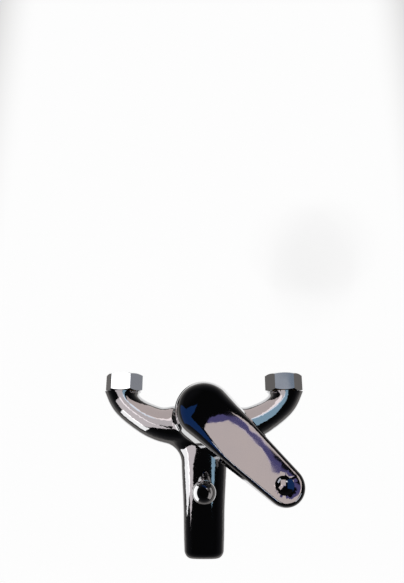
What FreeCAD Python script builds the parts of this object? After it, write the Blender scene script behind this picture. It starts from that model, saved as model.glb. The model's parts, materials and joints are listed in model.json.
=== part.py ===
import FreeCAD, Part
import math
import os
from FreeCAD import Vector

# Tub and shower mixer for a wall. Millimetres, +Z up, +Y into the wall, spout towards -Y.
# The origin is midway between the two inlets, in the plane where the union nuts meet the wall fittings.

# Places
inlet_centres = 150.0
barrel_y = -37.0
arm_y = -46.5
diverter_y = -102.7
aerator_y = -143.0
spout_end_y = -158.8
lever_turn_deg = 46.5

# Clearances
run_gap = 0.3
shaft_gap = 0.05
thread_gap = 0.1
seat_gap = 0.05

# Union nuts and tails
nut_length = 15.5
nut_across_flats = 30.0
nut_thread_r = 12.0585
nut_thread_length = 7.7
nut_relief_r = 13.3
nut_lip_thickness = 2.8
nut_lip_r = 10.9
nut_chamfer_deg = 25.0
nut_chamfer_start = 0.985
hex_clear = 0.01
left_nut_turn_deg = 34.4
right_nut_turn_deg = 35.2
gasket_r = 11.6
gasket_thickness = 1.9
strainer_thickness = 0.3
strainer_hole_r = 0.55
strainer_pitch = 1.9
tail_flange_r = 11.6
tail_flange_thickness = 2.7
tail_shank_r = 10.4
tail_bore_r = 7.0
tail_end_y = -28.5
tail_seal_y = -20.5
tail_seal_wire_r = 0.7

# Body casting
arm_face_gap = 0.6
arm_oval = 2.1
spout_oval = 2.5
barrel_wall = 2.9
barrel_bottom_z = -14.0
barrel_bottom_round = 9.0
barrel_top_z = 28.5
barrel_foot_round = 5.0
crotch_round = 18.0
spigot_wall = 1.8
spigot_top_z = 34.0
spout_end_round = 7.0
arm_water_r = 8.0
arm_water_z = -1.5
arm_water_end_x = 27.0
port_water_r = 4.0
spout_wall = 3.2
spout_water_start_y = -58.0
spout_water_stop_y = -89.0

# Each arm section: share of the way from the middle to the inlet, y, turn of the arm from straight
# out of the wall in degrees, half width, half height.
arm_sections = [
    (1.010, -16.1, 0.0, 16.9, 14.8),
    (0.957, -25.9, 16.4, 14.5, 14.6),
    (0.839, -33.6, 30.7, 14.7, 14.5),
    (0.696, -40.1, 49.0, 14.6, 14.5),
    (0.539, -44.5, 66.9, 15.7, 14.7),
    (0.361, -46.0, 83.8, 17.4, 15.1),
    (0.177, -46.4, 90.0, 18.0, 15.4),
]
arm_middle_half_width = 18.1
arm_middle_half_height = 15.5

# Each spout section: y, height of its middle, half width, half height.
spout_sections = [
    (-44.4, -0.5, 19.4, 12.0),
    (-55.7, -1.6, 20.7, 13.2),
    (-70.4, -4.4, 20.9, 14.3),
    (-87.4, -7.5, 20.4, 14.0),
    (-108.0, -10.8, 19.2, 13.4),
    (-127.8, -14.0, 18.5, 12.6),
    (-144.5, -16.8, 18.1, 11.8),
    (spout_end_y, -19.2, 17.6, 11.2),
]

# Cartridge chamber and cartridge
chamber_gap = 0.3
chamber_floor_z = 6.0
nut_bore_step = 3.0
nut_bore_z = 25.0
base_gap = 0.1
base_thickness = 4.0
base_lift = 0.3
inlet_port_x = 6.0
inlet_port_y = -3.6
outlet_port_y = 7.0
inlet_port_r = 2.4
outlet_port_r = 2.7
port_seal_r = 4.0
port_seal_wire_r = 0.75
base_pin_x = 13.0
base_pin_r = 1.4
base_pin_length = 2.6
disc_gap = 0.5
disc_thickness = 3.5
moving_disc_step = 3.6
mix_well_r = 4.3
mix_channel_half_width = 2.4
mix_outlet_r = 9.6
mix_outlet_start = 4.9
mix_depth = 1.9
carrier_thickness = 4.0
carrier_flat = 9.0
carrier_pocket_r = 3.35
housing_r = 17.4
housing_wall = 2.1
housing_shoulder_z = 27.5
housing_lid_thickness = 2.5
housing_neck_r = 13.5
housing_neck_wall = 3.0
housing_top_z = 34.0
rotor_gap = 0.4
rotor_top_z = 33.6
rotor_rib_drop = 2.7
stem_slot_half_length = 6.5
stem_slot_gap = 0.2
rotor_seal_z = 26.6
rotor_seal_wire_r = 0.7
pivot_z = 30.0
pivot_pin_r = 1.2
pivot_pin_length = 19.0
stem_ball_r = 3.0
stem_ball_lift = 0.3
stem_neck_r = 2.4
stem_square = 8.0
stem_block_bottom_z = 26.5
stem_top_z = 51.0

# Cartridge nut and dome cover
ring_nut_gap = 0.2
ring_nut_bore_gap = 0.4
ring_nut_thickness = 6.0
ring_nut_hex_height = 2.2
ring_nut_across_flats = 34.0
cover_shoulder_z = 37.0
cover_dome_z = 40.6
cover_hole_r = 14.6
cover_dome_step = 2.9
cover_lean = 0.55
cover_wall = 1.6
cover_seam = 0.15
cover_edge_round = 0.6

# Lever
lift_deg = 20.0
skirt_overhang = 0.1
skirt_gap = 1.0
skirt_draft_deg = 12.0
lever_reach = 86.15
lever_tip_r = 15.4
lever_tip_draft_deg = 9.0
lever_tip_bottom_z = 62.0
lever_wall = 3.0
lever_hollow_end = 66.0
lever_edge_round = 4.0
lever_hub_round = 12.0
lever_shoulder_end = 42.0
lever_crown = 2.0
lever_side = 30.0
skirt_front = 4.0
dimple_along = 85.3
dimple_r = 7.5
dimple_depth = 2.3
boss_r = 8.8
boss_bottom_z = 39.5
web_along = 22.0
web_thickness = 3.0
screw_z = 45.5
screw_r = 2.5
screw_length = 5.0
screw_socket_r = 1.25
plug_r = 3.5
plug_length = 3.6
plug_round = 0.6

# Height of the lever's top and underside along it, measured from the barrel's axis.
lever_top = [(-32, 45.0), (-22, 50.5), (-12, 56.0), (0, 59.3), (12, 60.9), (25, 61.7),
             (40, 62.3), (60, 63.6), (80, 66.0), (102, 69.6), (112, 71.4)]
lever_bottom = [(112, 64.3), (100, 61.7), (80, 57.4), (60, 52.3), (40, 45.8), (25, 41.0), (12, 38.6)]

# Diverter
chamber_bore_r = 8.6
chamber_top_z = -6.0
upper_space_r = 5.6
upper_space_top_z = -1.2
rear_port_z = -12.0
rear_port_r = 4.2
front_port_r = 2.6
socket_r = 9.1
socket_top_z = -18.0
seat_thickness = 2.4
seat_hole_r = 4.8
outlet_boss_r = 14.0
outlet_boss_z = -26.0
piston_r = 7.4
piston_thickness = 2.0
seal_thickness = 1.2
seal_inner_r = 5.6
seal_inset = 0.2
seal_hub_gap = 0.3
diverter_stem_r = 2.5
knob_r = 10.0
knob_z = 22.0
knob_neck_r = 4.6
knob_neck_z = 10.4
knob_thread_depth = 8.0
gland_r = 4.5
gland_flange_r = 6.6
gland_top_z = 5.2
gland_seat_z = 1.4
gland_edge = 0.5
gland_groove_r = 3.95
gland_groove_z = 0.2
gland_groove_height = 1.7
gland_seal_wire_r = 0.68
spring_wire_r = 0.35
spring_r = 3.95
spring_turns = 5

# Shower outlet
outlet_thread_r = 10.4775
outlet_thread_length = 12.0
outlet_thread_pitch = 1.814
outlet_thread_depth = 0.9
outlet_thread_half_deg = 30.0
outlet_groove_share = 0.75
outlet_groove_over = 0.1
outlet_bore_r = 6.5
outlet_hex_height = 3.4
outlet_across_flats = 25.0
outlet_neck_height = 1.4
outlet_seal_wire_r = 0.85
outlet_seal_recess = 1.8
outlet_seal_groove_r = 8.6

# Aerator
aerator_thread_r = 11.95
aerator_boss_r = 14.2
aerator_boss_z = -30.0
aerator_socket_top_z = -18.0
aerator_throat_r = 9.5
aerator_throat_top_z = -10.0
aerator_feed_r = 5.5
aerator_rim_r = 13.2
aerator_rim_height = 3.6
aerator_bore_r = 10.3
aerator_lip_r = 9.2
aerator_lip = 1.0
aerator_insert_gap = 0.05
insert_thickness = 6.0
insert_hole_r = 0.8
insert_rows = (3.6, 7.2)
insert_spacing = 2.5
screen_thickness = 0.5
screen_hole_r = 0.6
screen_spacing = 1.8
washer_thickness = 1.7
washer_inner_r = 9.6

half_centres = inlet_centres / 2
housing_bore_r = housing_r - housing_wall
housing_throat_r = housing_neck_r - housing_neck_wall
base_r = housing_r - base_gap
disc_r = housing_bore_r - disc_gap
moving_disc_r = disc_r - moving_disc_step
rotor_r = housing_bore_r - rotor_gap
rotor_neck_r = housing_throat_r - run_gap
chamber_r = housing_r + chamber_gap
nut_bore_r = chamber_r + nut_bore_step
ring_nut_r = nut_bore_r - ring_nut_gap
ring_nut_bore_r = housing_neck_r + ring_nut_bore_gap
spigot_r = nut_bore_r + spigot_wall
barrel_r = spigot_r + barrel_wall
cover_dome_r = barrel_r - cover_dome_step
skirt_r = barrel_r + skirt_overhang
up = Vector(0, 0, 1)
lever_angle = math.radians(lever_turn_deg - 90)
lever_way = Vector(math.cos(lever_angle), math.sin(lever_angle), 0)
lever_side_way = Vector(-lever_way.y, lever_way.x, 0)
barrel = Vector(0, barrel_y, 0)

base_z = chamber_floor_z + base_lift
disc_z = base_z + base_thickness
moving_disc_z = disc_z + disc_thickness + seat_gap
carrier_z = moving_disc_z + disc_thickness
carrier_top_z = carrier_z + carrier_thickness
rotor_z = carrier_top_z + run_gap
stem_ball_z = carrier_z + stem_ball_r + stem_ball_lift
ring_nut_z = housing_shoulder_z + seat_gap
skirt_z = cover_shoulder_z + skirt_gap
seat_z = socket_top_z - seat_thickness
lower_seal_z = socket_top_z + seat_gap
piston_z = lower_seal_z + seal_thickness
upper_seal_z = piston_z + piston_thickness
diverter_travel = chamber_top_z - seat_gap - upper_seal_z - seal_thickness
aerator_insert_z = aerator_boss_z - aerator_rim_height + aerator_lip


def cylinder(radius, bottom, top, x=0.0, y=0.0):
    return Part.makeCylinder(radius, top - bottom, Vector(x, y, bottom), up)


def ring(outer, inner, bottom, top, x=0.0, y=0.0):
    return cylinder(outer, bottom, top, x, y).cut(cylinder(inner, bottom - 1, top + 1, x, y))


def cylinder_y(radius, back, front, x=0.0, z=0.0):
    # back is the end nearer the wall
    return Part.makeCylinder(radius, back - front, Vector(x, front, z), Vector(0, 1, 0))


def ring_y(outer, inner, back, front, x=0.0):
    return cylinder_y(outer, back, front, x).cut(cylinder_y(inner, back + 1, front - 1, x))


def rod(start, end, radius):
    way = end - start
    return Part.makeCylinder(radius, way.Length, start, way)


def turned(profile, x=0.0, y=0.0):
    # a closed outline of (radius, height) points, turned about the vertical through (x, y)
    corners = [Vector(x + r, y, z) for r, z in profile]
    face = Part.Face(Part.makePolygon(corners + corners[:1]))
    return face.revolve(Vector(x, y, 0), up, 360)


def o_ring(radius, wire_r, centre, axis=up):
    return Part.makeTorus(radius, wire_r, centre, axis)


def hexagon(across_flats, bottom, top, x, y, turn_deg=0.0):
    corner_r = across_flats / math.sqrt(3)
    corners = []
    for k in range(6):
        angle = math.radians(60 * k + turn_deg)
        corners.append(Vector(x + corner_r * math.cos(angle), y + corner_r * math.sin(angle), bottom))
    face = Part.Face(Part.makePolygon(corners + corners[:1]))
    return face.extrude(Vector(0, 0, top - bottom))


def oval_wire(centre, forward, half_width, half_height, power):
    # a soft-cornered oval across the forward direction, in four edges
    side = Vector(-forward.y, forward.x, 0).normalize()
    count = 16
    points = []
    for k in range(count):
        c = math.cos(2 * math.pi * k / count)
        s = math.sin(2 * math.pi * k / count)
        across = half_width * math.copysign(abs(c) ** (2 / power), c)
        rise = half_height * math.copysign(abs(s) ** (2 / power), s)
        points.append(centre + side * across + up * rise)
    whole = Part.BSplineCurve()
    whole.interpolate(Points=points, PeriodicFlag=True, Parameters=[k / count for k in range(count + 1)])
    quarters = []
    for k in range(4):
        quarter = whole.copy()
        quarter.setNotPeriodic()
        quarter.segment(k / 4, (k + 1) / 4)
        quarters.append(quarter.toShape())
    return Part.Wire(quarters)


def arms_solid():
    rows = []
    for share, y, turn, half_width, half_height in arm_sections:
        heading = math.radians(-90 - turn)
        forward = Vector(math.cos(heading), math.sin(heading), 0)
        rows.append((Vector(share * half_centres, y, 0), forward, half_width, half_height))
    middle = (Vector(0, arm_y, 0), Vector(-1, 0, 0), arm_middle_half_width, arm_middle_half_height)
    mirrored = []
    for centre, forward, half_width, half_height in reversed(rows):
        across = Vector(-centre.x, centre.y, 0)
        mirrored.append((across, Vector(forward.x, -forward.y, 0), half_width, half_height))
    wires = [oval_wire(*row, arm_oval) for row in rows + [middle] + mirrored]
    return Part.makeLoft(wires, True, False)


def spout_solid(wall, start_y, stop_y):
    # the loft through the spout's sections, drawn in by the wall and cut to a stretch of its length
    forward = Vector(0, -1, 0)
    wires = []
    for y, middle_z, half_width, half_height in spout_sections:
        centre = Vector(0, y, middle_z)
        wires.append(oval_wire(centre, forward, half_width - wall, half_height - wall, spout_oval))
    solid = Part.makeLoft(wires, True, False)
    if wall == 0:
        return solid
    reach = 100.0
    stretch = Part.makeBox(2 * reach, start_y - stop_y, 2 * reach, Vector(-reach, stop_y, -reach))
    return solid.common(stretch)


def seam_edges(shape, one, other):
    # the edges of a fused shape that lie on both of the shapes it was made from
    found = []
    for edge in shape.Edges:
        middle = Part.Vertex(edge.valueAt((edge.FirstParameter + edge.LastParameter) / 2))
        if one.Shells[0].distToShape(middle)[0] < 1e-3 and other.Shells[0].distToShape(middle)[0] < 1e-3:
            found.append(edge)
    return found


def spout_with_round_end():
    spout = spout_solid(0, 0, 0)
    last_y = spout_sections[-1][0]
    rim = [edge for edge in spout.Edges if edge.BoundBox.YMax < last_y + 1e-3]
    return spout.makeFillet(spout_end_round, rim)


def body_skin():
    arms = arms_solid()
    spout = spout_with_round_end()
    skin = arms.fuse(spout)
    skin = skin.makeFillet(crotch_round, seam_edges(skin, arms, spout))
    can = cylinder(barrel_r, barrel_bottom_z, barrel_top_z, 0, barrel_y)
    bottom_edge = [edge for edge in can.Edges if edge.BoundBox.ZMax < barrel_bottom_z + 1e-3]
    can = can.makeFillet(barrel_bottom_round, bottom_edge)
    whole = skin.fuse(can)
    return whole.makeFillet(barrel_foot_round, seam_edges(whole, skin, can))


def arm_waterway(side):
    stops = [Vector(side * half_centres, tail_end_y + 2, 0)]
    for share, y, turn, half_width, half_height in arm_sections[2:5]:
        stops.append(Vector(side * share * half_centres, y, arm_water_z))
    stops.append(Vector(side * arm_water_end_x, arm_y, arm_water_z))
    way = rod(stops[0], stops[1], arm_water_r)
    for start, end in zip(stops[1:], stops[2:]):
        way = way.fuse([Part.makeSphere(arm_water_r, start), rod(start, end, arm_water_r)])
    way = way.fuse(Part.makeSphere(arm_water_r, stops[-1]))
    port = barrel + Vector(side * inlet_port_x, inlet_port_y, arm_water_z)
    link_start = Vector(stops[-1].x, port.y, port.z)
    link = rod(link_start, port, port_water_r)
    rise = cylinder(inlet_port_r, port.z, chamber_floor_z + 1, port.x, port.y)
    socket = cylinder_y(tail_shank_r + thread_gap, 0, tail_end_y - 1, side * half_centres)
    return way.fuse([link, rise, socket])


def body_casting():
    body = body_skin()
    spigot = cylinder(spigot_r, barrel_top_z - 1, spigot_top_z, 0, barrel_y)
    outlet_boss = cylinder(outlet_boss_r, outlet_boss_z, rear_port_z, 0, diverter_y)
    aerator_boss = cylinder(aerator_boss_r, aerator_boss_z, aerator_socket_top_z, 0, aerator_y)
    body = body.fuse([spigot, outlet_boss, aerator_boss])
    chamber = cylinder(chamber_r, chamber_floor_z, nut_bore_z + 1, 0, barrel_y)
    nut_bore = cylinder(nut_bore_r, nut_bore_z, spigot_top_z + 1, 0, barrel_y)
    outlet_y = barrel_y + outlet_port_y
    outlet_drop_z = arm_water_z - 2 * port_water_r
    outlet_drop = cylinder(outlet_port_r, outlet_drop_z - outlet_port_r, chamber_floor_z + 1, 0, outlet_y)
    outlet_end = Vector(0, spout_water_start_y - 1, outlet_drop_z)
    outlet_run = rod(Vector(0, outlet_y, outlet_drop_z), outlet_end, outlet_port_r)
    holes = [chamber, nut_bore, outlet_drop, outlet_run, arm_waterway(-1), arm_waterway(1)]
    for side in (-1, 1):
        pin_bottom = chamber_floor_z - base_pin_length
        pin_r = base_pin_r + thread_gap
        holes.append(cylinder(pin_r, pin_bottom, chamber_floor_z + 1, side * base_pin_x, barrel_y))
    holes.append(spout_solid(spout_wall, spout_water_start_y, spout_water_stop_y))
    rear_port_start = Vector(0, spout_water_stop_y + 1, rear_port_z)
    holes.append(rod(rear_port_start, Vector(0, diverter_y, rear_port_z), rear_port_r))
    holes.append(cylinder(socket_r, outlet_boss_z - 1, socket_top_z, 0, diverter_y))
    recess_top = outlet_boss_z + outlet_seal_recess
    holes.append(cylinder(outlet_thread_r, outlet_boss_z - 1, recess_top, 0, diverter_y))
    holes.append(cylinder(chamber_bore_r, socket_top_z - 1, chamber_top_z, 0, diverter_y))
    holes.append(cylinder(upper_space_r, chamber_top_z - 1, upper_space_top_z, 0, diverter_y))
    holes.append(cylinder(gland_r + thread_gap, upper_space_top_z - 1, knob_z, 0, diverter_y))
    holes.append(cylinder(gland_flange_r + run_gap, gland_seat_z, knob_z, 0, diverter_y))
    bend = Vector(0, aerator_y, aerator_throat_top_z - aerator_feed_r / 2)
    front_start = Vector(0, diverter_y, (chamber_top_z + upper_space_top_z) / 2)
    holes.append(rod(front_start, bend, front_port_r))
    throat_top = aerator_throat_top_z - aerator_feed_r
    holes.append(cylinder(aerator_throat_r, aerator_socket_top_z - 1, throat_top, 0, aerator_y))
    holes.append(Part.makeSphere(aerator_feed_r, bend))
    thread_r = aerator_thread_r + thread_gap
    holes.append(cylinder(thread_r, aerator_boss_z - 1, aerator_socket_top_z, 0, aerator_y))
    return body.cut(holes)


def union_nut(side, turn_deg):
    prism = hexagon(nut_across_flats, 0, nut_length, 0, 0, 30 + turn_deg)
    corner_r = nut_across_flats / math.sqrt(3)
    flat_r = nut_across_flats / 2 * nut_chamfer_start
    drop = (corner_r - flat_r) * math.tan(math.radians(nut_chamfer_deg))
    clear_r = corner_r + hex_clear
    rounded = turned([(0, 0), (flat_r, 0), (clear_r, drop), (clear_r, nut_length - drop),
                      (flat_r, nut_length), (0, nut_length)])
    nut = prism.common(rounded)
    nut = nut.cut([
        cylinder(nut_thread_r, -1, nut_thread_length),
        cylinder(nut_relief_r, nut_thread_length, nut_length - nut_lip_thickness),
        cylinder(nut_lip_r, nut_length - nut_lip_thickness - 1, nut_length + 1),
    ])
    nut.rotate(Vector(0, 0, 0), Vector(1, 0, 0), 90)
    nut.translate(Vector(side * half_centres, 0, 0))
    return nut


def flange_back_y():
    return -(nut_length - nut_lip_thickness - seat_gap)


def union_tail(side):
    x = side * half_centres
    back = flange_back_y()
    flange = ring_y(tail_flange_r, tail_bore_r, back + tail_flange_thickness, back, x)
    shank = ring_y(tail_shank_r, tail_bore_r, back, tail_end_y, x)
    groove_r = tail_shank_r - 2 * tail_seal_wire_r
    half_groove = tail_seal_wire_r + shaft_gap
    groove = ring_y(tail_shank_r + 1, groove_r, tail_seal_y + half_groove, tail_seal_y - half_groove, x)
    return flange.fuse(shank).cut(groove).removeSplitter()


def tail_seal(side):
    wire = tail_seal_wire_r - shaft_gap / 2
    centre = Vector(side * half_centres, tail_seal_y, 0)
    return o_ring(tail_shank_r - tail_seal_wire_r, wire, centre, Vector(0, 1, 0))


def inlet_strainer(side):
    x = side * half_centres
    front = flange_back_y() + tail_flange_thickness
    plate = cylinder_y(gasket_r, front + strainer_thickness, front, x)
    holes = []
    rings = int((tail_bore_r - strainer_hole_r) / strainer_pitch)
    for ring_number in range(rings + 1):
        count = max(1, 6 * ring_number)
        for k in range(count):
            angle = 2 * math.pi * k / count
            hole_x = x + ring_number * strainer_pitch * math.cos(angle)
            hole_z = ring_number * strainer_pitch * math.sin(angle)
            back = front + strainer_thickness + 1
            holes.append(cylinder_y(strainer_hole_r, back, front - 1, hole_x, hole_z))
    return plate.cut(holes)


def inlet_gasket(side):
    front = flange_back_y() + tail_flange_thickness + strainer_thickness
    return ring_y(gasket_r, tail_bore_r, front + gasket_thickness, front, side * half_centres)


def port_places():
    return [
        (-inlet_port_x, barrel_y + inlet_port_y, inlet_port_r),
        (inlet_port_x, barrel_y + inlet_port_y, inlet_port_r),
        (0, barrel_y + outlet_port_y, outlet_port_r),
    ]


def cartridge_base():
    base = cylinder(base_r, base_z, disc_z, 0, barrel_y)
    pins = []
    for side in (-1, 1):
        pins.append(cylinder(base_pin_r, base_z - base_pin_length, base_z, side * base_pin_x, barrel_y))
    base = base.fuse(pins)
    groove_half = port_seal_wire_r + thread_gap
    cuts = []
    for x, y, port_r in port_places():
        cuts.append(cylinder(port_r, base_z - 1, disc_z + 1, x, y))
        cuts.append(ring(port_seal_r + groove_half, port_seal_r - groove_half, base_z - 1,
                         chamber_floor_z + 2 * port_seal_wire_r, x, y))
    return base.cut(cuts)


def port_seals():
    rings = [o_ring(port_seal_r, port_seal_wire_r, Vector(x, y, chamber_floor_z + port_seal_wire_r))
             for x, y, port_r in port_places()]
    return Part.makeCompound(rings)


def fixed_disc():
    disc = cylinder(disc_r, disc_z, disc_z + disc_thickness, 0, barrel_y)
    return disc.cut([cylinder(port_r, disc_z - 1, moving_disc_z, x, y) for x, y, port_r in port_places()])


def towards_lever(shape):
    # drawn with the lever along +X through the origin, then set on the barrel's axis at the lever's angle
    shape.rotate(Vector(0, 0, 0), up, lever_turn_deg - 90)
    shape.translate(barrel)
    return shape


def moving_disc():
    # the well in the middle slides over the inlets when the lever is lifted, and opens back to the outlet
    disc = cylinder(moving_disc_r, moving_disc_z, carrier_z)
    low = moving_disc_z - mix_depth
    high = moving_disc_z + mix_depth
    well = cylinder(mix_well_r, low, high)
    channel = Part.makeBox(mix_outlet_r - 1, 2 * mix_channel_half_width, 2 * mix_depth,
                           Vector(1 - mix_outlet_r, -mix_channel_half_width, low))
    behind = Part.makeBox(mix_outlet_r, 2 * mix_outlet_r, 2 * mix_depth,
                          Vector(-mix_outlet_start - mix_outlet_r, -mix_outlet_r, low))
    return towards_lever(disc.cut([well, channel, cylinder(mix_outlet_r, low, high).common(behind)]))


def disc_carrier():
    carrier = cylinder(moving_disc_r, carrier_z, carrier_top_z)
    reach = moving_disc_r + 1
    flats = []
    for side in (-1, 1):
        start = carrier_flat if side > 0 else -carrier_flat - reach
        corner = Vector(-reach, start, carrier_z - 1)
        flats.append(Part.makeBox(2 * reach, reach, carrier_thickness + 2, corner))
    pocket = cylinder(carrier_pocket_r, carrier_z - 1, carrier_top_z + 1)
    return towards_lever(carrier.cut(flats + [pocket]))


def cartridge_housing():
    lid_z = housing_shoulder_z - housing_lid_thickness
    profile = [(housing_bore_r, disc_z), (housing_r, disc_z), (housing_r, housing_shoulder_z),
               (housing_neck_r, housing_shoulder_z), (housing_neck_r, housing_top_z),
               (housing_throat_r, housing_top_z), (housing_throat_r, lid_z), (housing_bore_r, lid_z)]
    return turned(profile, 0, barrel_y)


def stem_slot(bottom, top):
    half = stem_square / 2 + stem_slot_gap
    corner = Vector(-stem_slot_half_length, -half, bottom)
    return Part.makeBox(2 * stem_slot_half_length, 2 * half, top - bottom, corner)


def cartridge_rotor():
    lid_z = housing_shoulder_z - housing_lid_thickness
    disc_top = lid_z - run_gap
    rotor = cylinder(rotor_r, rotor_z, disc_top).fuse(cylinder(rotor_neck_r, disc_top - 1, rotor_top_z))
    rib_in = carrier_flat + run_gap
    rib_bottom = rotor_z - rotor_rib_drop
    ribs = cylinder(rotor_r, rib_bottom, rotor_z + 1)
    corner = Vector(-2 * rotor_r, -rib_in, rib_bottom - 1)
    middle = Part.makeBox(4 * rotor_r, 2 * rib_in, rotor_rib_drop + 3, corner)
    rotor = rotor.fuse(ribs.cut(middle))
    half_groove = rotor_seal_wire_r + shaft_gap
    groove_r = housing_throat_r - 2 * rotor_seal_wire_r - 2 * shaft_gap
    groove = ring(rotor_neck_r + 1, groove_r, rotor_seal_z - half_groove, rotor_seal_z + half_groove)
    pin_hole = rod(Vector(0, -rotor_r, pivot_z), Vector(0, rotor_r, pivot_z), pivot_pin_r + shaft_gap)
    rotor = rotor.cut([stem_slot(rib_bottom - 1, rotor_top_z + 1), groove, pin_hole])
    return towards_lever(rotor)


def rotor_seal():
    radius = housing_throat_r - shaft_gap - rotor_seal_wire_r
    return o_ring(radius, rotor_seal_wire_r - shaft_gap / 2, barrel + up * rotor_seal_z)


def stem_pivot_pin():
    half = pivot_pin_length / 2
    return towards_lever(rod(Vector(0, -half, pivot_z), Vector(0, half, pivot_z), pivot_pin_r))


def lever_stem():
    half = stem_square / 2
    ball = Part.makeSphere(stem_ball_r, Vector(0, 0, stem_ball_z))
    neck = cylinder(stem_neck_r, stem_ball_z, stem_block_bottom_z + 1)
    corner = Vector(-half, -half, stem_block_bottom_z)
    block = Part.makeBox(stem_square, stem_square, stem_top_z - stem_block_bottom_z, corner)
    hole = rod(Vector(0, -stem_square, pivot_z), Vector(0, stem_square, pivot_z), pivot_pin_r + shaft_gap)
    return towards_lever(ball.fuse([neck, block]).cut(hole))


def cartridge_ring_nut():
    top = ring_nut_z + ring_nut_thickness
    hex_top = top + ring_nut_hex_height
    body = cylinder(ring_nut_r, ring_nut_z, top, 0, barrel_y)
    hexed = hexagon(ring_nut_across_flats, top - 1, hex_top, 0, barrel_y)
    return body.fuse(hexed).cut(cylinder(ring_nut_bore_r, ring_nut_z - 1, hex_top + 1, 0, barrel_y))


def dome_cover():
    bottom = barrel_top_z + cover_seam
    thread_r = spigot_r + thread_gap
    edge = cover_edge_round
    lean = (cover_dome_z - cover_shoulder_z) * cover_lean
    profile = [
        (thread_r, bottom), (barrel_r - edge / 2, bottom), (barrel_r, bottom + edge / 2),
        (barrel_r, cover_shoulder_z - edge), (barrel_r - edge, cover_shoulder_z),
        (cover_dome_r, cover_shoulder_z), ((cover_dome_r + cover_hole_r) / 2, cover_shoulder_z + lean),
        (cover_hole_r, cover_dome_z), (cover_hole_r, cover_dome_z - cover_wall),
        ((cover_dome_r + cover_hole_r) / 2, cover_shoulder_z + lean - cover_wall),
        (cover_dome_r, spigot_top_z + seat_gap), (thread_r, spigot_top_z + seat_gap),
    ]
    return turned(profile, 0, barrel_y)


def hull_wire(hub_radius, tip_radius, height):
    # two circles, on the barrel's axis and at the tip, joined by their tangent lines, which are
    # divided where the hub's wide rounding ends
    lean = math.asin((hub_radius - tip_radius) / lever_reach)
    def on(radius, along, angle):
        return Vector(along + radius * math.cos(angle), radius * math.sin(angle), height)
    side = math.pi / 2 - lean
    hub_right = on(hub_radius, 0, -side)
    hub_left = on(hub_radius, 0, side)
    tip_right = on(tip_radius, lever_reach, -side)
    tip_left = on(tip_radius, lever_reach, side)
    share = lever_shoulder_end / lever_reach
    shoulder_right = hub_right + (tip_right - hub_right) * share
    shoulder_left = hub_left + (tip_left - hub_left) * share
    edges = [Part.Arc(hub_left, on(hub_radius, 0, math.pi), hub_right)]
    edges.append(Part.LineSegment(hub_right, shoulder_right))
    edges.append(Part.LineSegment(shoulder_right, tip_right))
    edges.append(Part.Arc(tip_right, on(tip_radius, lever_reach, 0), tip_left))
    edges.append(Part.LineSegment(tip_left, shoulder_left))
    edges.append(Part.LineSegment(shoulder_left, hub_left))
    return Part.Wire([edge.toShape() for edge in edges])


def lever_plan(inset):
    # the tapering block that the lever's outline is cut from
    low = skirt_z - 1
    high = lever_top[-1][1] + lever_crown
    hub_slope = math.tan(math.radians(skirt_draft_deg))
    tip_slope = math.tan(math.radians(lever_tip_draft_deg))
    wires = []
    for height in (low, high):
        hub_radius = skirt_r - (height - skirt_z) * hub_slope - inset
        tip_radius = lever_tip_r - (height - lever_tip_bottom_z) * tip_slope - inset
        wires.append(hull_wire(hub_radius, tip_radius, height))
    return Part.makeLoft(wires, True, True)


def side_wire(across, drop, sink):
    # the lever seen from the side, at a distance across, with its top lowered by the drop
    def at(along, height):
        return Vector(along, across, height)
    top = Part.BSplineCurve()
    top.interpolate([at(along, height - drop) for along, height in lever_top])
    under = Part.BSplineCurve()
    under.interpolate([at(along, height - sink) for along, height in lever_bottom])
    back = lever_top[0][0]
    corners = [
        at(lever_bottom[-1][0], lever_bottom[-1][1] - sink), at(skirt_front, skirt_z - sink),
        at(back, skirt_z - sink), at(back, lever_top[0][1] - drop),
    ]
    edges = [Part.LineSegment(a, b).toShape() for a, b in zip(corners, corners[1:])]
    nose_top = at(lever_top[-1][0], lever_top[-1][1] - drop)
    nose = Part.LineSegment(nose_top, at(lever_bottom[0][0], lever_bottom[0][1] - sink))
    return Part.Wire([top.toShape(), nose.toShape(), under.toShape()] + edges)


def lever_profile(drop, sink):
    # the top is crowned: lower at both sides than along its middle
    wires = []
    for across, crown in ((-lever_side, lever_crown), (0, 0), (lever_side, lever_crown)):
        wires.append(side_wire(across, drop + crown, sink))
    return Part.makeLoft(wires, True, False)


def skirt_relief():
    # the space that the lever's underside clears when it is fully up, turned back to the rest position
    reach = 2 * lever_reach
    clear_z = cover_shoulder_z + skirt_gap / 2
    block = Part.makeBox(2 * reach, 2 * reach, reach, Vector(-reach, -reach, clear_z - reach))
    block.rotate(Vector(0, 0, pivot_z), Vector(0, 1, 0), lift_deg)
    return block


def top_edges(shape):
    # the rim between the lever's top and its flanks
    found = []
    depth = lever_crown + lever_edge_round
    for edge in shape.Edges:
        middle = edge.valueAt((edge.FirstParameter + edge.LastParameter) / 2)
        level = edge.BoundBox.ZMax - edge.BoundBox.ZMin < edge.Length / 2
        if level and middle.z > top_point(middle.x)[0].z - depth:
            found.append(edge)
    return found


def rim_round(point):
    return lever_hub_round if point.x < lever_shoulder_end / 2 else lever_edge_round


def rounded_rim(block):
    # the rim is rounded widely at the hub, and its radius narrows along the sides to the shoulders' end
    sheet = FreeCAD.newDocument("lever")
    sharp = sheet.addObject("Part::Feature", "sharp")
    sharp.Shape = block
    rounded = sheet.addObject("Part::Fillet", "rounded")
    rounded.Base = sharp
    rim = top_edges(block)
    rows = []
    for number, edge in enumerate(block.Edges, 1):
        if any(edge.isSame(other) for other in rim):
            first = rim_round(edge.valueAt(edge.FirstParameter))
            rows.append((number, first, rim_round(edge.valueAt(edge.LastParameter))))
    rounded.Edges = rows
    sheet.recompute()
    return rounded.Shape.copy()


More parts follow.
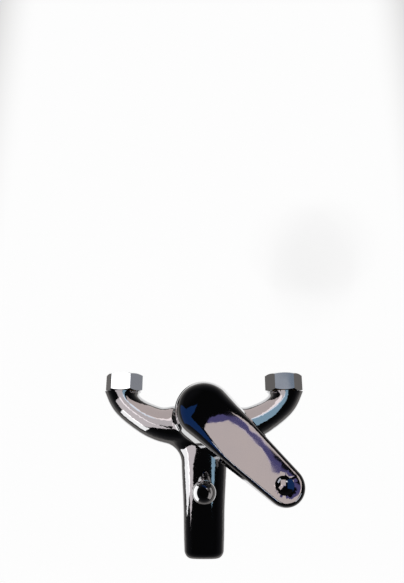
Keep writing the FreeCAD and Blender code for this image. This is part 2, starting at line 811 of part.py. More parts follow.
def top_point(along):
    # a point of the lever's top on its centre line, with the slope's direction there
    curve = Part.BSplineCurve()
    curve.interpolate([Vector(a, 0, height) for a, height in lever_top])
    where = curve.parameter(Vector(along, 0, lever_tip_bottom_z))
    return curve.value(where), curve.tangent(where)[0]


def dimple_ball():
    place, slope = top_point(dimple_along)
    normal = Vector(-slope.z, 0, slope.x).normalize()
    radius = (dimple_r ** 2 + dimple_depth ** 2) / (2 * dimple_depth)
    return Part.makeSphere(radius, place + normal * (radius - dimple_depth))


def lever_hollow():
    # open below, so the underside of the inner profile is sunk well under the skirt
    inside = lever_plan(lever_wall).common(lever_profile(lever_wall, skirt_z))
    width = 2 * lever_side
    end = Part.makeBox(lever_reach, width, 2 * lever_reach, Vector(lever_hollow_end, -lever_side, 0))
    web = Part.makeBox(web_thickness, width, 2 * lever_reach, Vector(web_along, -lever_side, 0))
    boss = cylinder(boss_r, boss_bottom_z, 2 * lever_reach)
    return inside.cut([end, web, boss])


def lever_handle():
    outer = rounded_rim(lever_plan(0).common(lever_profile(0, 0)))
    half = stem_square / 2 + shaft_gap
    socket_top = stem_top_z + run_gap
    socket = Part.makeBox(2 * half, 2 * half, socket_top - skirt_z, Vector(-half, -half, skirt_z))
    screw_hole = rod(Vector(0, 0, screw_z), Vector(boss_r + 1, 0, screw_z), screw_r + thread_gap)
    web_front = Vector(web_along + web_thickness + 1, 0, screw_z)
    plug_hole = rod(Vector(boss_r + 1, 0, screw_z), web_front, plug_r + shaft_gap)
    solid = outer.cut([lever_hollow(), skirt_relief(), socket, screw_hole, plug_hole, dimple_ball()])
    return towards_lever(solid)


def handle_set_screw():
    start = stem_square / 2 + seat_gap
    screw = rod(Vector(start, 0, screw_z), Vector(start + screw_length, 0, screw_z), screw_r)
    depth = screw_length / 2
    key = hexagon(2 * screw_socket_r, 0, depth + 1, 0, 0)
    key.rotate(Vector(0, 0, 0), Vector(0, 1, 0), 90)
    key.translate(Vector(start + screw_length - depth, 0, screw_z))
    return towards_lever(screw.cut(key))


def index_plug():
    plug = rod(Vector(web_along, 0, screw_z), Vector(web_along + plug_length, 0, screw_z), plug_r)
    front = [edge for edge in plug.Edges if edge.BoundBox.XMin > web_along + plug_length - 1e-3]
    return towards_lever(plug.makeFillet(plug_round, front))


def diverter_gland():
    # threaded into the top of the spout, with a groove inside for the stem's seal
    bore = diverter_stem_r + shaft_gap
    edge = gland_edge
    groove_top = gland_groove_z + gland_groove_height
    profile = [
        (bore, upper_space_top_z), (gland_r, upper_space_top_z), (gland_r, gland_seat_z),
        (gland_flange_r, gland_seat_z), (gland_flange_r, gland_top_z - edge),
        (gland_flange_r - edge, gland_top_z), (bore, gland_top_z), (bore, groove_top),
        (gland_groove_r, groove_top), (gland_groove_r, gland_groove_z), (bore, gland_groove_z),
    ]
    return turned(profile, 0, diverter_y)


def gland_seal():
    radius = (diverter_stem_r + gland_groove_r) / 2
    middle = gland_groove_z + gland_groove_height / 2
    return o_ring(radius, gland_seal_wire_r, Vector(0, diverter_y, middle))


def diverter_stem():
    top = knob_neck_z + knob_thread_depth
    return cylinder(diverter_stem_r, upper_seal_z - piston_thickness, top, 0, diverter_y)


def diverter_piston():
    bore = diverter_stem_r + thread_gap
    step = seal_inner_r - shaft_gap
    spring_room = spring_r + spring_wire_r + thread_gap
    upper_top = upper_seal_z + seal_thickness - seal_hub_gap
    disc = ring(piston_r, bore, piston_z, upper_seal_z, 0, diverter_y)
    lower_hub = ring(step, bore, lower_seal_z + seal_hub_gap, piston_z, 0, diverter_y)
    upper_hub = ring(step, spring_room, upper_seal_z, upper_top, 0, diverter_y)
    return disc.fuse([lower_hub, upper_hub]).removeSplitter()


def diverter_seal(bottom):
    return ring(piston_r - seal_inset, seal_inner_r, bottom, bottom + seal_thickness, 0, diverter_y)


def arc_between(start, corner, end):
    # the arc from start to end whose tangents meet at the corner
    middle = (start + end) * 0.5
    half_chord = (end - start).Length / 2
    height = (corner - middle).Length
    bow = half_chord * math.tan(math.atan2(height, half_chord) / 2)
    return Part.Arc(start, middle + (corner - middle) * (bow / height), end).toShape()


def helix_wire(radius, bottom, top, turns, centre):
    # a helix as pairs of tangent arcs, one pair to each quarter turn
    count = int(4 * turns)
    rise = (top - bottom) / count
    def at(k):
        angle = math.pi / 2 * k
        point = centre + Vector(radius * math.cos(angle), radius * math.sin(angle), bottom + rise * k)
        way = Vector(-radius * math.sin(angle), radius * math.cos(angle), rise * 2 / math.pi)
        return point, way.normalize()
    edges = []
    for k in range(count):
        start, start_way = at(k)
        end, end_way = at(k + 1)
        span = end - start
        both = start_way + end_way
        square = 2 - 2 * start_way.dot(end_way)
        linear = 2 * span.dot(both)
        reach = (-linear + math.sqrt(linear ** 2 + 4 * square * span.dot(span))) / (2 * square)
        first_corner = start + start_way * reach
        second_corner = end - end_way * reach
        joint = (first_corner + second_corner) * 0.5
        edges.append(arc_between(start, first_corner, joint))
        edges.append(arc_between(joint, second_corner, end))
    return Part.Wire(edges)


def diverter_spring():
    margin = spring_wire_r + seat_gap
    bottom = upper_seal_z + margin
    top = upper_space_top_z - margin
    centre = Vector(0, diverter_y, 0)
    path = helix_wire(spring_r, bottom, top, spring_turns, centre)
    first = path.Edges[0]
    start = first.valueAt(first.FirstParameter)
    way = first.tangentAt(first.FirstParameter)
    section = Part.Wire([Part.Circle(start, way, spring_wire_r).toShape()])
    print("spring: gap between turns", round((top - bottom) / spring_turns - 2 * spring_wire_r, 2), "mm")
    return path.makePipeShell([section], True, False)


def diverter_seat():
    return ring(socket_r - shaft_gap, seat_hole_r, seat_z, socket_top_z, 0, diverter_y)


def diverter_knob():
    ball = Part.makeSphere(knob_r, Vector(0, diverter_y, knob_z))
    neck = cylinder(knob_neck_r, knob_neck_z, knob_z, 0, diverter_y)
    thread_top = knob_neck_z + knob_thread_depth + thread_gap
    thread = cylinder(diverter_stem_r + thread_gap, knob_neck_z - 1, thread_top, 0, diverter_y)
    return ball.fuse(neck).cut(thread)


def shower_outlet_nipple():
    x, y = 0, diverter_y
    hex_top = outlet_boss_z - seat_gap
    hex_bottom = hex_top - outlet_hex_height
    thread_top = hex_bottom - outlet_neck_height
    thread_bottom = thread_top - outlet_thread_length
    neck_r = outlet_thread_r - outlet_thread_depth
    spigot = cylinder(socket_r - thread_gap, hex_top, seat_z, x, y)
    groove_top = outlet_boss_z + outlet_seal_recess + thread_gap
    groove = ring(socket_r + 1, outlet_seal_groove_r, hex_top, groove_top, x, y)
    hexed = hexagon(outlet_across_flats, hex_bottom, hex_top, x, y)
    corner_r = outlet_across_flats / math.sqrt(3)
    flat_r = outlet_across_flats / 2
    drop = (corner_r - flat_r) * math.tan(math.radians(nut_chamfer_deg))
    rounded = turned([(0, hex_bottom), (flat_r, hex_bottom), (corner_r, hex_bottom + drop),
                      (corner_r, hex_top), (0, hex_top)], x, y)
    neck = cylinder(neck_r, thread_top, hex_bottom, x, y)
    thread = cylinder(outlet_thread_r, thread_bottom, thread_top, x, y)
    solid = spigot.cut(groove).fuse([hexed.common(rounded), neck, thread])
    cuts = [cylinder(outlet_bore_r, thread_bottom - 1, seat_z + 1, x, y)]
    rim_r = outlet_thread_r + outlet_groove_over
    half_width = outlet_thread_depth * math.tan(math.radians(outlet_thread_half_deg))
    count = int(outlet_thread_length / outlet_thread_pitch)
    for k in range(count):
        middle = thread_bottom + outlet_thread_pitch * (k + outlet_groove_share)
        notch = [(neck_r, middle), (rim_r, middle - half_width), (rim_r, middle + half_width)]
        cuts.append(turned(notch, x, y))
    return solid.cut(cuts)


def outlet_seal():
    radius = (outlet_seal_groove_r + outlet_thread_r) / 2
    height = outlet_boss_z + outlet_seal_recess / 2
    return o_ring(radius, outlet_seal_wire_r, Vector(0, diverter_y, height))


def aerator_housing():
    rim_bottom = aerator_boss_z - aerator_rim_height
    top = aerator_socket_top_z - washer_thickness - 2 * seat_gap
    edge = cover_edge_round
    profile = [
        (aerator_lip_r, rim_bottom), (aerator_rim_r - edge, rim_bottom), (aerator_rim_r, rim_bottom + edge),
        (aerator_rim_r, aerator_boss_z - seat_gap), (aerator_thread_r, aerator_boss_z - seat_gap),
        (aerator_thread_r, top), (aerator_bore_r, top), (aerator_bore_r, rim_bottom + aerator_lip),
        (aerator_lip_r, rim_bottom + aerator_lip),
    ]
    return turned(profile, 0, aerator_y)


def perforated_disc(radius, bottom, top, hole_r, rows, spacing):
    # a disc on the aerator's axis with one middle hole and rings of holes at the given radii
    x, y = 0, aerator_y
    holes = [cylinder(hole_r, bottom - 1, top + 1, x, y)]
    for row_r in rows:
        count = int(2 * math.pi * row_r / spacing)
        for k in range(count):
            angle = 2 * math.pi * k / count
            hole_x = x + row_r * math.cos(angle)
            hole_y = y + row_r * math.sin(angle)
            holes.append(cylinder(hole_r, bottom - 1, top + 1, hole_x, hole_y))
    return cylinder(radius, bottom, top, x, y).cut(holes)


def aerator_insert():
    radius = aerator_bore_r - aerator_insert_gap
    bottom = aerator_insert_z + seat_gap
    top = bottom + insert_thickness
    return perforated_disc(radius, bottom, top, insert_hole_r, insert_rows, insert_spacing)


def aerator_screen():
    radius = aerator_bore_r - aerator_insert_gap
    bottom = aerator_insert_z + insert_thickness + 2 * seat_gap
    rows = [screen_spacing * k for k in range(1, int((radius - screen_hole_r) / screen_spacing))]
    return perforated_disc(radius, bottom, bottom + screen_thickness, screen_hole_r, rows, screen_spacing)


def aerator_washer():
    top = aerator_socket_top_z - seat_gap
    return ring(aerator_thread_r - shaft_gap, washer_inner_r, top - washer_thickness, top, 0, aerator_y)


part_makers = {
    "body_casting": body_casting,
    "left_union_nut": lambda: union_nut(-1, left_nut_turn_deg),
    "right_union_nut": lambda: union_nut(1, right_nut_turn_deg),
    "left_union_tail": lambda: union_tail(-1),
    "right_union_tail": lambda: union_tail(1),
    "left_tail_seal": lambda: tail_seal(-1),
    "right_tail_seal": lambda: tail_seal(1),
    "left_inlet_strainer": lambda: inlet_strainer(-1),
    "right_inlet_strainer": lambda: inlet_strainer(1),
    "left_inlet_gasket": lambda: inlet_gasket(-1),
    "right_inlet_gasket": lambda: inlet_gasket(1),
    "cartridge_base": cartridge_base,
    "cartridge_port_seals": port_seals,
    "fixed_ceramic_disc": fixed_disc,
    "moving_ceramic_disc": moving_disc,
    "disc_carrier": disc_carrier,
    "cartridge_housing": cartridge_housing,
    "cartridge_rotor": cartridge_rotor,
    "rotor_seal": rotor_seal,
    "stem_pivot_pin": stem_pivot_pin,
    "lever_stem": lever_stem,
    "cartridge_ring_nut": cartridge_ring_nut,
    "dome_cover": dome_cover,
    "lever_handle": lever_handle,
    "handle_set_screw": handle_set_screw,
    "index_plug": index_plug,
    "diverter_gland": diverter_gland,
    "gland_seal": gland_seal,
    "diverter_stem": diverter_stem,
    "diverter_piston": diverter_piston,
    "lower_diverter_seal": lambda: diverter_seal(lower_seal_z),
    "upper_diverter_seal": lambda: diverter_seal(upper_seal_z),
    "diverter_spring": diverter_spring,
    "diverter_seat": diverter_seat,
    "diverter_knob": diverter_knob,
    "shower_outlet_nipple": shower_outlet_nipple,
    "outlet_seal": outlet_seal,
    "aerator_housing": aerator_housing,
    "aerator_insert": aerator_insert,
    "aerator_screen": aerator_screen,
    "aerator_washer": aerator_washer,
}

os.makedirs("parts", exist_ok=True)
for name, maker in part_makers.items():
    shape = maker()
    shape.exportStep("parts/" + name + ".step")
    print(name, len(shape.Solids), "solids", round(shape.Volume, 1), "mm3", shape.isValid())
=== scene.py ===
import bmesh
import bpy
import json
import math
from mathutils import Matrix, Vector

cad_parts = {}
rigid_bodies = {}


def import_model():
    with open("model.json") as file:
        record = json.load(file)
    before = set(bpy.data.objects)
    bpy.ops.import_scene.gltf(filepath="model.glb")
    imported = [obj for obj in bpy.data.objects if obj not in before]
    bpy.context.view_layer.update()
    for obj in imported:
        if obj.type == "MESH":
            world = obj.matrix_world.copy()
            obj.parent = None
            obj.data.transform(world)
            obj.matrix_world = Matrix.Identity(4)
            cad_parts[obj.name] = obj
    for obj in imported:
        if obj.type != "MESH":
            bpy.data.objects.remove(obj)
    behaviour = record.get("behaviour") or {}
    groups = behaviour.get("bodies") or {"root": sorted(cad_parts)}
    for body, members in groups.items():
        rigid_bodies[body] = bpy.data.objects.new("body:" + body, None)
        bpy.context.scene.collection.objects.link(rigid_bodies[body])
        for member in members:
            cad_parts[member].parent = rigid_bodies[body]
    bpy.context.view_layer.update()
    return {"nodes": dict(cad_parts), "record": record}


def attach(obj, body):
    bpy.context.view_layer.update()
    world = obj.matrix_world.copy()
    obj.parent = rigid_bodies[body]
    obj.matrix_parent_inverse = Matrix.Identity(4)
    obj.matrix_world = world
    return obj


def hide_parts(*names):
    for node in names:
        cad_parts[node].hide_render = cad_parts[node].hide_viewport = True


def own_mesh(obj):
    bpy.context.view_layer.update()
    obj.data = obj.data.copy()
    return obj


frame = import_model()


def linearColour(hexText):
    # sRGB hex to the linear values that the shaders take, with a full alpha
    channels = [int(hexText[i:i + 2], 16) / 255 for i in (1, 3, 5)]
    return [c / 12.92 if c <= 0.04045 else ((c + 0.055) / 1.055) ** 2.4 for c in channels] + [1]


def addNode(tree, kind, settings=None, links=None):
    # one node, its settings, and what feeds its inputs: a socket or a plain value
    node = tree.nodes.new(kind)
    for name, value in (settings or {}).items():
        setattr(node, name, value)
    for name, value in (links or {}).items():
        if isinstance(value, bpy.types.NodeSocket):
            tree.links.new(value, node.inputs[name])
        else:
            node.inputs[name].default_value = value
    return node


print("camera")
camera = {
    "place": (-0.00184, -0.0784, 0.48336),
    "downTilt": 71.5,       # degrees below level
    "focalPixels": 510,
    "framePixels": 404,
    "sensorWidth": 36,
    "nearest": 0.01,
}
cameraData = bpy.data.cameras.new("camera")
cameraData.sensor_fit = "HORIZONTAL"
cameraData.sensor_width = camera["sensorWidth"]
cameraData.lens = camera["focalPixels"] * camera["sensorWidth"] / camera["framePixels"]
cameraData.clip_start = camera["nearest"]
cameraObject = bpy.data.objects.new("camera", cameraData)
bpy.context.scene.collection.objects.link(cameraObject)
cameraObject.matrix_world = (
    Matrix.Translation(camera["place"])
    @ Matrix.Rotation(math.radians(90 - camera["downTilt"]), 4, "X")
)
bpy.context.scene.camera = cameraObject
bpy.context.scene.view_settings.view_transform = "Standard"


print("surroundings")
surround = {
    # height of the direction, from -1 straight down to 1 straight up, and the tone there
    "tones": [(-1.0, "#7C7977"), (-0.3, "#5E5C5B"), (0.0, "#2E2D2E"), (0.35, "#161618"), (0.7, "#0A0A0B")],
    "strength": 1.0,
}
world = bpy.data.worlds.new("studio")
bpy.context.scene.world = world
world.use_nodes = True
sky = world.node_tree
sky.nodes.clear()
direction = addNode(sky, "ShaderNodeTexCoord").outputs["Generated"]
upward = addNode(sky, "ShaderNodeSeparateXYZ", links={"Vector": direction}).outputs["Z"]
rise = addNode(sky, "ShaderNodeMapRange", links={"Value": upward, "From Min": -1.0, "From Max": 1.0})
toneRamp = addNode(sky, "ShaderNodeValToRGB", links={"Fac": rise.outputs["Result"]})
stops = toneRamp.color_ramp.elements
while len(stops) < len(surround["tones"]):
    stops.new(0.5)
for stop, (height, shade) in zip(stops, surround["tones"]):
    stop.position = (height + 1) / 2
    stop.color = linearColour(shade)
background = addNode(sky, "ShaderNodeBackground",
                     links={"Color": toneRamp.outputs["Color"], "Strength": surround["strength"]})
addNode(sky, "ShaderNodeOutputWorld", links={"Surface": background.outputs["Background"]})


print("key light")
key = {"strength": 1.6, "tilt": (28, -18, 0), "spread": 12}
sunData = bpy.data.lights.new("key", "SUN")
sunData.energy = key["strength"]
sunData.angle = math.radians(key["spread"])
sunObject = bpy.data.objects.new("key", sunData)
sunObject.rotation_euler = [math.radians(angle) for angle in key["tilt"]]
sunObject.visible_glossy = False
bpy.context.scene.collection.objects.link(sunObject)


print("floor")
floorLook = {
    "depth": 1.2,           # metres below the tap, which hangs on its union nuts
    "radius": 4.0,
    "sides": 96,
    # the painted pool of light: where the floor is white, and how wide its fade to the far grey is
    "paintedPoolMiddle": (0.0, 0.62),
    "paintedPoolHalf": (0.70, 1.15),
    "fade": 0.45,
    "colour": "#FFFFFF",
    "farColour": "#7C7977",
    "ownLight": 0.55,
}
floorShape = bmesh.new()
bmesh.ops.create_circle(floorShape, cap_ends=True, segments=floorLook["sides"], radius=floorLook["radius"],
                        matrix=Matrix.Translation((0, 0, -floorLook["depth"])))
floorMesh = bpy.data.meshes.new("studioFloor")
floorShape.to_mesh(floorMesh)
floorShape.free()
floor = bpy.data.objects.new("studioFloor", floorMesh)
bpy.context.scene.collection.objects.link(floor)

# painted pool of light: the floor's colour is white round the place below the tap and fades to grey further
# out, as if lit only there
floorWithPaintedPool = bpy.data.materials.new("matt floor with painted pool of light")
floorWithPaintedPool.use_nodes = True
paper = floorWithPaintedPool.node_tree
paper.nodes.clear()
paperPlace = addNode(paper, "ShaderNodeTexCoord").outputs["Object"]
spot = addNode(paper, "ShaderNodeSeparateXYZ", links={"Vector": paperPlace})
# painted pool of light: this mask is 1 over the white rectangle below the tap and falls to 0 across the
# fade, and mixes the floor from the far grey to white
paintedPool = 1.0
for axis, middle, half in zip("XY", floorLook["paintedPoolMiddle"], floorLook["paintedPoolHalf"]):
    offset = addNode(paper, "ShaderNodeMath", {"operation": "SUBTRACT"}, {0: spot.outputs[axis], 1: middle})
    size = addNode(paper, "ShaderNodeMath", {"operation": "ABSOLUTE"}, {0: offset.outputs[0]})
    inside = addNode(paper, "ShaderNodeMapRange", {"interpolation_type": "SMOOTHSTEP"},
                     {"Value": size.outputs[0], "From Min": half + floorLook["fade"], "From Max": half})
    paintedPool = addNode(paper, "ShaderNodeMath", {"operation": "MULTIPLY"},
                    {0: inside.outputs["Result"], 1: paintedPool}).outputs[0]
tone = addNode(paper, "ShaderNodeMix", {"data_type": "RGBA"},
               {0: paintedPool, 6: linearColour(floorLook["farColour"]), 7: linearColour(floorLook["colour"])})
matt = addNode(paper, "ShaderNodeBsdfDiffuse", links={"Color": tone.outputs[2]})

# a little light of its own, for the eye and for what the metal shows, and none on the tap
glow = addNode(paper, "ShaderNodeEmission",
               links={"Color": tone.outputs[2], "Strength": floorLook["ownLight"]})
ray = addNode(paper, "ShaderNodeLightPath")
direct = addNode(paper, "ShaderNodeMath", {"operation": "MAXIMUM"},
                 {0: ray.outputs["Is Camera Ray"], 1: ray.outputs["Is Glossy Ray"]})
direct = addNode(paper, "ShaderNodeMath", {"operation": "MAXIMUM"},
                 {0: direct.outputs[0], 1: ray.outputs["Is Transmission Ray"]})
lift = addNode(paper, "ShaderNodeMixShader", links={0: direct.outputs[0], 2: glow.outputs[0]})
both = addNode(paper, "ShaderNodeAddShader", links={0: matt.outputs[0], 1: lift.outputs[0]})
addNode(paper, "ShaderNodeOutputMaterial", links={"Surface": both.outputs[0]})
floorMesh.materials.append(floorWithPaintedPool)


print("materials")


def newMaterial(name):
    material = bpy.data.materials.new(name)
    material.use_nodes = True
    material.node_tree.nodes.clear()
    return material, material.node_tree


def perMetre(millimetres):
    # a noise texture's scale for cells of this size, as the scene is in metres
    return 1000 / millimetres


chromeWear = {
    "clean": "#C9C8C8",
    "hazed": "#C2C3C6",
    "smudgeSize": 22,           # mm
    "smudgeDetail": 5.0,
    "smudgeSoftness": 0.6,
    "smudgeRange": (0.35, 0.75),
}
# ripple is the height of the waves left by polishing, in metres, and rippleSize their width in mm
chromeLook = {
    # cast brass, ground and polished by hand: the softest ripples
    "chrome_cast_body": {
        "name": "chrome on polished cast brass", "roughness": 0.03, "smudge": 0.05,
        "ripple": 0.00002, "rippleSize": 14,
    },
    # die-cast zinc from a smooth mould: the flattest skin
    "chrome_lever": {
        "name": "chrome on polished die-cast zinc", "roughness": 0.03, "smudge": 0.05,
        "ripple": 0.00001, "rippleSize": 18,
    },
    # turned brass: crisp and even
    "chrome_turned": {
        "name": "chrome on turned brass", "roughness": 0.03, "smudge": 0.04,
        "ripple": 0.00001, "rippleSize": 12,
    },
    # drawn hexagon bar: flat faces, a little duller
    "chrome_nut": {
        "name": "chrome on hexagon bar", "roughness": 0.04, "smudge": 0.06,
        "ripple": 0.00001, "rippleSize": 10,
    },
}


def chromePlate(name, roughness, smudge, ripple, rippleSize):
    # polished and plated metal: a mirror with faint smudges and the slight waviness of polishing
    material, tree = newMaterial(name)
    place = addNode(tree, "ShaderNodeTexCoord").outputs["Object"]
    smudges = addNode(tree, "ShaderNodeTexNoise", links={
        "Vector": place,
        "Scale": perMetre(chromeWear["smudgeSize"]),
        "Detail": chromeWear["smudgeDetail"],
        "Roughness": chromeWear["smudgeSoftness"],
    })
    rough = addNode(tree, "ShaderNodeMapRange", links={
        "Value": smudges.outputs["Fac"],
        "From Min": chromeWear["smudgeRange"][0],
        "From Max": chromeWear["smudgeRange"][1],
        "To Min": roughness,
        "To Max": roughness + smudge,
    })
    tint = addNode(tree, "ShaderNodeMix", {"data_type": "RGBA"}, {
        0: smudges.outputs["Fac"],
        6: linearColour(chromeWear["clean"]),
        7: linearColour(chromeWear["hazed"]),
    })
    waves = addNode(tree, "ShaderNodeTexNoise", links={
        "Vector": place, "Scale": perMetre(rippleSize), "Detail": 1.0})
    bump = addNode(tree, "ShaderNodeBump", links={
        "Strength": 1.0, "Distance": ripple, "Height": waves.outputs["Fac"]})
    shader = addNode(tree, "ShaderNodeBsdfPrincipled", links={
        "Base Color": tint.outputs[2], "Metallic": 1.0, "Roughness": rough.outputs["Result"],
        "Normal": bump.outputs["Normal"]})
    addNode(tree, "ShaderNodeOutputMaterial", links={"Surface": shader.outputs["BSDF"]})
    return material


brassLook = {
    "name": "turned brass",
    "fresh": "#D9B36A",
    "dulled": "#B68F4C",
    "patch": 9,                 # mm
    "patchDetail": 4.0,
    "roughness": (0.2, 0.36),
    "toolPitch": 0.35,          # mm
    "toolDepth": 0.00002,       # metres
    "toolWander": 0.4,
    "toolStrength": 0.6,
}


def turnedBrass(pieceName, centre):
    # bare brass off the lathe: fine rings left by the tool round the piece's own middle, in a patchy tone
    material, tree = newMaterial(brassLook["name"] + " " + pieceName)
    place = addNode(tree, "ShaderNodeTexCoord").outputs["Object"]
    centred = addNode(tree, "ShaderNodeVectorMath", {"operation": "SUBTRACT"}, {0: place, 1: centre})
    rings = addNode(tree, "ShaderNodeTexWave", {"wave_type": "RINGS", "rings_direction": "SPHERICAL"}, {
        "Vector": centred.outputs[0],
        "Scale": perMetre(brassLook["toolPitch"]) * math.pi / 10,   # 10 / pi rings per unit
        "Distortion": brassLook["toolWander"],
    })
    cloud = addNode(tree, "ShaderNodeTexNoise", links={
        "Vector": place, "Scale": perMetre(brassLook["patch"]), "Detail": brassLook["patchDetail"]})
    tone = addNode(tree, "ShaderNodeMix", {"data_type": "RGBA"}, {
        0: cloud.outputs["Fac"], 6: linearColour(brassLook["fresh"]), 7: linearColour(brassLook["dulled"])})
    rough = addNode(tree, "ShaderNodeMapRange", links={
        "Value": cloud.outputs["Fac"],
        "To Min": brassLook["roughness"][0],
        "To Max": brassLook["roughness"][1],
    })
    bump = addNode(tree, "ShaderNodeBump", links={
        "Strength": brassLook["toolStrength"],
        "Distance": brassLook["toolDepth"],
        "Height": rings.outputs["Fac"],
    })
    shader = addNode(tree, "ShaderNodeBsdfPrincipled", links={
        "Base Color": tone.outputs[2], "Metallic": 1.0, "Roughness": rough.outputs["Result"],
        "Normal": bump.outputs["Normal"]})
    addNode(tree, "ShaderNodeOutputMaterial", links={"Surface": shader.outputs["BSDF"]})
    return material


# patch and grain are in mm, and depth, that of the grain, in metres
stuffLook = {
    # drawn wire and rolled sheet: satin, with fine lines along the draw
    "steel": {
        "name": "drawn stainless steel", "tones": ("#C2C0BB", "#A5A39F"), "patch": 6, "metallic": 1.0,
        "roughness": (0.2, 0.4), "grain": 0.3, "depth": 0.000004, "stretch": (1, 1, 0.1),
    },
    # cellulose fibre pressed in layers: dry, brown and slightly furry
    "fibre_gasket": {
        "name": "pressed fibre", "tones": ("#8A7560", "#6B5846"), "patch": 3,
        "roughness": (0.75, 0.92), "grain": 0.25, "depth": 0.00003,
    },
    # nitrile rubber from a matt mould, with a faint bloom
    "seal_rubber": {
        "name": "moulded nitrile rubber", "tones": ("#1B1B1C", "#2A2A2B"), "patch": 4,
        "roughness": (0.48, 0.66), "grain": 0.2, "depth": 0.000008,
    },
    # white acetal: milky, with the soft sheen of a spark-eroded mould
    "cartridge_plastic": {
        "name": "moulded white acetal", "tones": ("#E9E9E5", "#DCDBD4"), "patch": 8,
        "roughness": (0.34, 0.5), "grain": 0.4, "depth": 0.000006,
    },
    # dark acetal: the same sheen on near black
    "cartridge_dark_plastic": {
        "name": "moulded dark acetal", "tones": ("#2A2A2D", "#38383B"), "patch": 8,
        "roughness": (0.34, 0.5), "grain": 0.4, "depth": 0.000006,
    },
    # alumina lapped flat: ivory, almost a mirror, with tiny pits
    "disc_ceramic": {
        "name": "lapped alumina", "tones": ("#ECEAE2", "#E1DED3"), "patch": 5,
        "roughness": (0.08, 0.22), "grain": 0.12, "depth": 0.000002,
    },
    # grey plastic plug from a polished mould
    "plug_plastic": {
        "name": "moulded grey plastic", "tones": ("#9A9CA0", "#8C8E93"), "patch": 3,
        "roughness": (0.22, 0.34), "grain": 0.3, "depth": 0.000003,
    },
    # white plastic from a matt mould: chalky, with a fine grain
    "aerator_plastic": {
        "name": "moulded white plastic", "tones": ("#DADCDC", "#CDD0D0"), "patch": 6,
        "roughness": (0.4, 0.55), "grain": 0.35, "depth": 0.000006,
    },
}
stuffDetail = {"patch": 3.0, "grain": 2.0}


def patchyStuff(name, tones, patch, roughness, grain, depth, metallic=0.0, stretch=(1, 1, 1)):
    # two tones in soft patches, and a fine grain whose cells can be drawn out along an axis
    material, tree = newMaterial(name)
    place = addNode(tree, "ShaderNodeTexCoord").outputs["Object"]
    cloud = addNode(tree, "ShaderNodeTexNoise", links={
        "Vector": place, "Scale": perMetre(patch), "Detail": stuffDetail["patch"]})
    tone = addNode(tree, "ShaderNodeMix", {"data_type": "RGBA"}, {
        0: cloud.outputs["Fac"], 6: linearColour(tones[0]), 7: linearColour(tones[1])})
    drawn = addNode(tree, "ShaderNodeMapping", links={"Vector": place, "Scale": stretch})
    cells = addNode(tree, "ShaderNodeTexNoise", links={
        "Vector": drawn.outputs[0], "Scale": perMetre(grain), "Detail": stuffDetail["grain"]})
    rough = addNode(tree, "ShaderNodeMapRange", links={
        "Value": cells.outputs["Fac"], "To Min": roughness[0], "To Max": roughness[1]})
    bump = addNode(tree, "ShaderNodeBump", links={
        "Strength": 1.0, "Distance": depth, "Height": cells.outputs["Fac"]})
    shader = addNode(tree, "ShaderNodeBsdfPrincipled", links={
        "Base Color": tone.outputs[2], "Metallic": metallic, "Roughness": rough.outputs["Result"],
        "Normal": bump.outputs["Normal"]})
    addNode(tree, "ShaderNodeOutputMaterial", links={"Surface": shader.outputs["BSDF"]})
    return material


chromes = {slotName: chromePlate(**look) for slotName, look in chromeLook.items()}
stuffs = {slotName: patchyStuff(**look) for slotName, look in stuffLook.items()}


print("plated pieces")
polishing = {
    "weld": 0.000002,       # metres
    "crease": 34,           # degrees
}


def plated(nodeName, bodyName, slotName):
    # the node's own shape, welded, with the shading of one polished skin
    shape = bmesh.new()
    shape.from_mesh(frame["nodes"][nodeName].data)
    bmesh.ops.remove_doubles(shape, verts=shape.verts, dist=polishing["weld"])
    crease = math.radians(polishing["crease"])
    for face in shape.faces:
        face.smooth = True
    for edge in shape.edges:
        edge.smooth = not edge.is_manifold or edge.calc_face_angle(math.pi) < crease
    mesh = bpy.data.meshes.new(nodeName + "_plated")
    shape.to_mesh(mesh)
    shape.free()
    piece = bpy.data.objects.new(nodeName + "_plated", mesh)
    bpy.context.scene.collection.objects.link(piece)
    weighted = piece.modifiers.new("even shading", "WEIGHTED_NORMAL")
    weighted.keep_sharp = True
    mesh.materials.append(chromes[slotName])
    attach(piece, bodyName)
    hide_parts(nodeName)
    return piece


def cornersOf(node):
    return [Vector(corner) for corner in node.bound_box]


def middleOf(node):
    return sum(cornersOf(node), Vector()) / len(cornersOf(node))


slotOf = {part["node"]: part["material_slot"] for part in frame["record"]["subparts"]}
platedPieces = {}
for bodyName, members in frame["record"]["behaviour"]["bodies"].items():
    for nodeName in members:
        node = frame["nodes"][nodeName]
        if slotOf[nodeName] in chromes:
            platedPieces[nodeName] = plated(nodeName, bodyName, slotOf[nodeName])
            continue
        if slotOf[nodeName] == "raw_brass":
            material = turnedBrass(nodeName, middleOf(node))
        else:
            material = stuffs[slotOf[nodeName]]
        for materialSlot in node.material_slots:
            materialSlot.material = material


print("diverter spring")
spring = {"node": "diverter_spring", "joint": "diverter_pull"}
springNode = frame["nodes"][spring["node"]]
springPiece = bpy.data.objects.new(spring["node"] + "_coil", springNode.data.copy())
bpy.context.scene.collection.objects.link(springPiece)
pull = next(joint for joint in frame["record"]["behaviour"]["joints"] if joint["name"] == spring["joint"])
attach(springPiece, pull["parent"])
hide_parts(spring["node"])
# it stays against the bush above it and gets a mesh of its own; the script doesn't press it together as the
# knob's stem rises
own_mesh(springPiece)


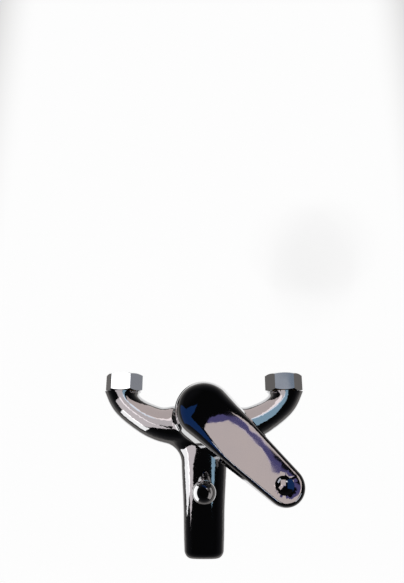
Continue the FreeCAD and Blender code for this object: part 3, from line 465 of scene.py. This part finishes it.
print("soft boxes")
farBox = 8      # metres
lever = ("lever_handle",)
body = ("body_casting",)
leftNut = ("left_union_nut",)
rightNut = ("right_union_nut",)
knob = ("diverter_knob",)
softBoxes = {
    # each box lights only the pieces named in lit. Azimuth runs from +Y towards +X and elevation up from
    # level, half is half its width and height over its distance, and turn is about its own middle
    "lever top": {
        "azimuth": 155, "elevation": 80.5, "turn": -25, "half": (0.29, 0.33),
        "colour": "#E2D3D0", "strength": 1.0, "lit": lever,
    },
    "lever top corner": {
        "azimuth": 48, "elevation": 62.5, "half": (0.16, 0.265),
        "colour": "#E2D3D0", "strength": 1.0, "lit": lever,
    },
    "lever violet": {
        "azimuth": -8, "elevation": 78.8, "turn": -8, "half": (0.15, 0.03),
        "colour": "#5A5486", "strength": 1.0, "lit": lever,
    },
    "lever blue": {
        "azimuth": -90, "elevation": 35, "half": (0.55, 0.6),
        "colour": "#16386E", "strength": 0.8, "lit": lever,
    },
    "lever tip": {
        "azimuth": 125, "elevation": 53, "half": (0.25, 0.1),
        "colour": "#E4E8F4", "strength": 0.9, "lit": lever,
    },
    "lever glow": {
        "azimuth": -130, "elevation": 65, "half": (0.08, 0.08),
        "colour": "#FFFFFF", "strength": 1.2, "lit": lever,
    },
    "behind": {
        "azimuth": -4, "elevation": 27, "half": (0.5, 0.98),
        "colour": "#E2D3D0", "strength": 0.9, "lit": (*body, "dome_cover", *leftNut, *rightNut),
    },
    "left arm top": {
        "azimuth": -56, "elevation": 70, "half": (0.34, 0.3),
        "colour": "#EDE4E6", "strength": 0.9, "lit": body,
    },
    "left arm": {
        "azimuth": -125, "elevation": 46, "distance": 0.36, "half": (0.24, 0.37),
        "colour": "#EDE4E6", "strength": 1.0, "lit": (*body, "dome_cover"),
    },
    "left arm edge": {
        "azimuth": -132, "elevation": 14, "distance": 0.2, "half": (0.18, 0.22),
        "colour": "#FFFFFF", "strength": 1.5, "lit": body,
    },
    "right arm blue": {
        "azimuth": 107, "elevation": 78, "turn": -45, "half": (0.11, 0.45),
        "colour": "#B4DCF6", "strength": 0.7, "lit": body,
    },
    "left nut": {
        "azimuth": -66, "elevation": 70, "half": (0.03, 0.06),
        "colour": "#FFFFFF", "strength": 3.0, "lit": leftNut,
    },
    "left nut haze": {
        "azimuth": -65, "elevation": 70, "half": (0.3, 0.3),
        "colour": "#E8ECF6", "strength": 0.9, "lit": leftNut,
    },
    "left nut side": {
        "azimuth": 82, "elevation": -14, "distance": 1.6, "half": (0.08, 0.2),
        "colour": "#D3D9E6", "strength": 0.4, "lit": leftNut,
    },
    "right nut": {
        "azimuth": -5, "elevation": 82, "half": (0.035, 0.2),
        "colour": "#C5D9F3", "strength": 0.45, "lit": rightNut,
    },
    "right nut haze": {
        "azimuth": -14, "elevation": 81, "half": (0.03, 0.2),
        "colour": "#E2D9D0", "strength": 0.3, "lit": rightNut,
    },
    "knob": {
        "azimuth": -95, "elevation": -12, "distance": 1.6, "half": (1.1, 0.5),
        "colour": "#FFFFFF", "strength": 1.6, "lit": knob,
    },
    "knob side": {
        "azimuth": 97, "elevation": 22, "half": (0.9, 0.4),
        "colour": "#C9C4C2", "strength": 0.7, "lit": knob,
    },
}
for boxName, box in softBoxes.items():
    distance = box.get("distance", farBox)
    lampData = bpy.data.lights.new(boxName, "AREA")
    lampData.shape = "RECTANGLE"
    lampData.size, lampData.size_y = (2 * half * distance for half in box["half"])
    lampData.color = linearColour(box["colour"])[:3]
    # the power at which the lamp's face shows its colour at this strength
    lampData.energy = box["strength"] * math.pi * lampData.size * lampData.size_y
    lamp = bpy.data.objects.new(boxName, lampData)
    bpy.context.scene.collection.objects.link(lamp)
    lamp.matrix_world = (
        Matrix.Rotation(-math.radians(box["azimuth"]), 4, "Z")
        @ Matrix.Rotation(math.radians(box["elevation"]), 4, "X")
        @ Matrix.Translation((0, distance, 0))
        @ Matrix.Rotation(-math.pi / 2, 4, "X")
        @ Matrix.Rotation(math.radians(box.get("turn", 0)), 4, "Z")
    )
    lamp.visible_camera = False
    lit = bpy.data.collections.new(boxName)
    for nodeName in box["lit"]:
        lit.objects.link(platedPieces[nodeName])
    lamp.light_linking.receiver_collection = lit


print("scene set up")
